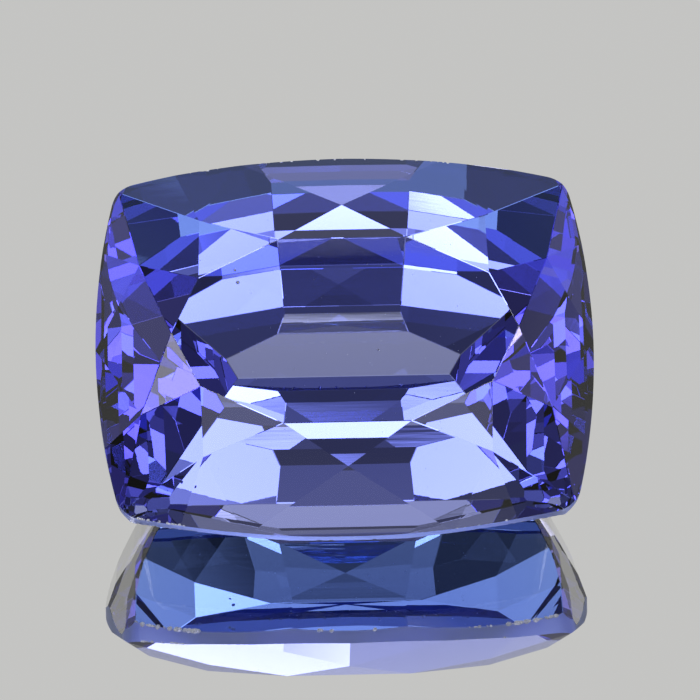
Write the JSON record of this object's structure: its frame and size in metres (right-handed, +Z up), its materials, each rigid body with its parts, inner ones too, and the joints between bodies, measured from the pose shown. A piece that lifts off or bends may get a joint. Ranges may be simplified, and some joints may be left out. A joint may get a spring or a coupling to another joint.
{
  "type": "cushion cut tanzanite gemstone",
  "caption": "Cushion cut tanzanite: a violet-blue faceted stone with a stepped pavilion, lying tipped on one pavilion facet.",
  "frame": {"origin": "centre of the bounding box, on the surface that the stone lies on", "axes": "+Z up, X along the stone's length, and the table tipped towards -Y"},
  "size_m": [0.0092, 0.0064, 0.0052],
  "materials": {
    "crystal": "polished, see-through violet-blue crystal"
  },
  "bodies": {
    "root": {"tanzanite": "crystal"}
  },
  "joints": []
}
